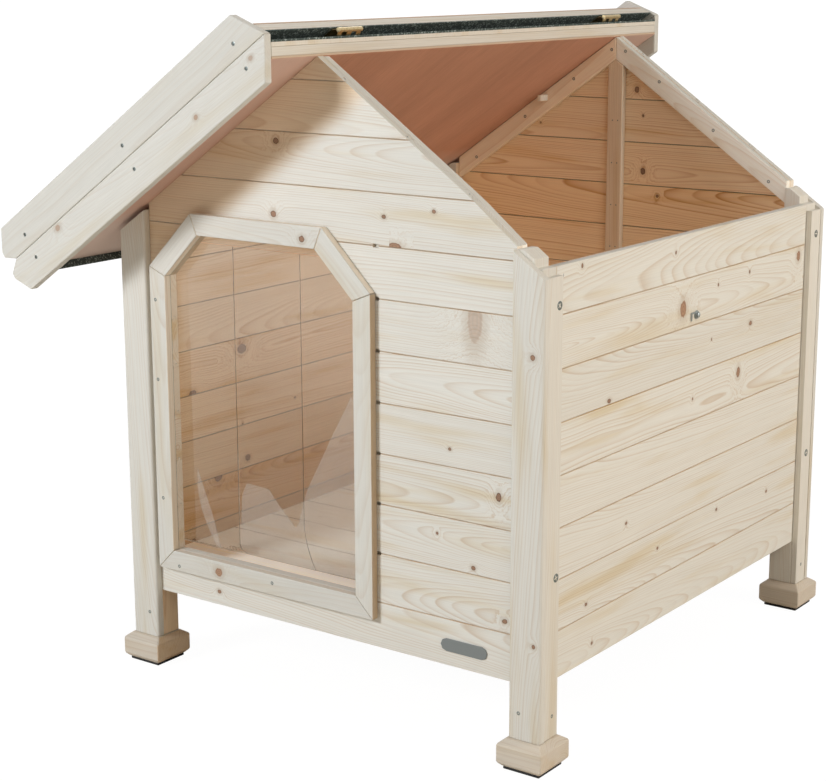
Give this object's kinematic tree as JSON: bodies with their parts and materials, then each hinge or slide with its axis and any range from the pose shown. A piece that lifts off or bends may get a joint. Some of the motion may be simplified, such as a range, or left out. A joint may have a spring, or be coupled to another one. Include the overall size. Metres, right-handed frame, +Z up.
{
  "type": "wooden dog kennel",
  "caption": "Wooden dog kennel on legs, boarded walls, trimmed door way with a clear strip curtain, felted pitched roof with one half hinged to fold over.",
  "frame": {"origin": "on the ground, under the middle of the box that holds the whole kennel with its right roof half folded over the left one", "axes": "+Z up, the front wall with the door way faces -Y, +X is to the right of someone looking at the door"},
  "size_m": [0.8838, 1.017, 0.9656],
  "materials": {
    "spruce": "planed untreated spruce, pale, with small brown knots",
    "foot_wood": "sawn and chamfered softwood block, slightly darker",
    "plywood": "thin reddish hardwood plywood, smooth",
    "roofing_felt": "bitumen roofing felt with dark green mineral granules",
    "clear_pvc": "clear flexible PVC sheet, glossy",
    "brass": "thin pressed brass-plated hinge",
    "zinc": "bright zinc-plated steel",
    "rubber": "black moulded pad, matt",
    "grey_plate": "satin grey plate, bare"
  },
  "bodies": {
    "kennel": {"foot_front_left": "foot_wood", "foot_front_right": "foot_wood", "foot_rear_left": "foot_wood", "foot_rear_right": "foot_wood", "pad_front_left": "rubber", "pad_front_right": "rubber", "pad_rear_left": "rubber", "pad_rear_right": "rubber", "leg_board_front_left": "spruce", "leg_board_front_right": "spruce", "leg_board_rear_left": "spruce", "leg_board_rear_right": "spruce", "leg_post_front_left": "spruce", "leg_post_front_right": "spruce", "leg_post_rear_left": "spruce", "leg_post_rear_right": "spruce", "front_wall": "spruce", "rear_wall": "spruce", "left_wall": "spruce", "right_wall": "spruce", "rafter_front_left": "spruce", "rafter_front_right": "spruce", "rafter_rear_left": "spruce", "rafter_rear_right": "spruce", "rear_stud": "spruce", "floor": "spruce", "floor_bearer_left": "spruce", "floor_bearer_right": "spruce", "trim_bottom": "spruce", "trim_right": "spruce", "trim_right_clip": "spruce", "trim_top": "spruce", "trim_left_clip": "spruce", "trim_left": "spruce", "curtain_header": "spruce", "curtain_band": "clear_pvc", "roof_left_felt": "roofing_felt", "roof_left_deck": "plywood", "roof_left_ridge_batten": "spruce", "roof_left_eave_batten": "spruce", "roof_left_underside": "plywood", "bargeboard_front_left": "spruce", "bargeboard_rear_left": "spruce", "hinge_front_leaf_left": "brass", "hinge_rear_leaf_left": "brass", "hook_screw": "zinc", "blank_plate": "grey_plate"},
    "roof_flap": {"roof_right_felt": "roofing_felt", "roof_right_deck": "plywood", "roof_right_ridge_batten": "spruce", "roof_right_eave_batten": "spruce", "roof_right_underside": "plywood", "bargeboard_front_right": "spruce", "bargeboard_rear_right": "spruce", "hinge_front_leaf_right": "brass", "hinge_rear_leaf_right": "brass"},
    "strip_left": {"curtain_strip_left": "clear_pvc"},
    "strip_middle": {"curtain_strip_middle": "clear_pvc"},
    "strip_right": {"curtain_strip_right": "clear_pvc"},
    "hook": {"side_hook": "zinc"}
  },
  "joints": [
    {"name": "roof_hinge", "type": "hinge", "parent": "kennel", "child": "roof_flap", "pos_m": [0.06837, -0.4045, 0.94352], "axis": [0, 1, 0], "range_deg": [0, 249]},
    {"name": "strip_left_swing", "type": "hinge", "parent": "kennel", "child": "strip_left", "pos_m": [-0.15963, -0.39145, 0.64433], "axis": [1, 0, 0], "range_deg": [0, 75]},
    {"name": "strip_middle_swing", "type": "hinge", "parent": "kennel", "child": "strip_middle", "pos_m": [-0.03863, -0.39145, 0.64433], "axis": [1, 0, 0], "range_deg": [-60, 75]},
    {"name": "strip_right_swing", "type": "hinge", "parent": "kennel", "child": "strip_right", "pos_m": [0.08237, -0.39145, 0.64433], "axis": [1, 0, 0], "range_deg": [0, 75]},
    {"name": "hook_turn", "type": "hinge", "parent": "kennel", "child": "hook", "pos_m": [0.42067, 0.0015, 0.54408], "axis": [1, 0, 0], "continuous": true}
  ]
}
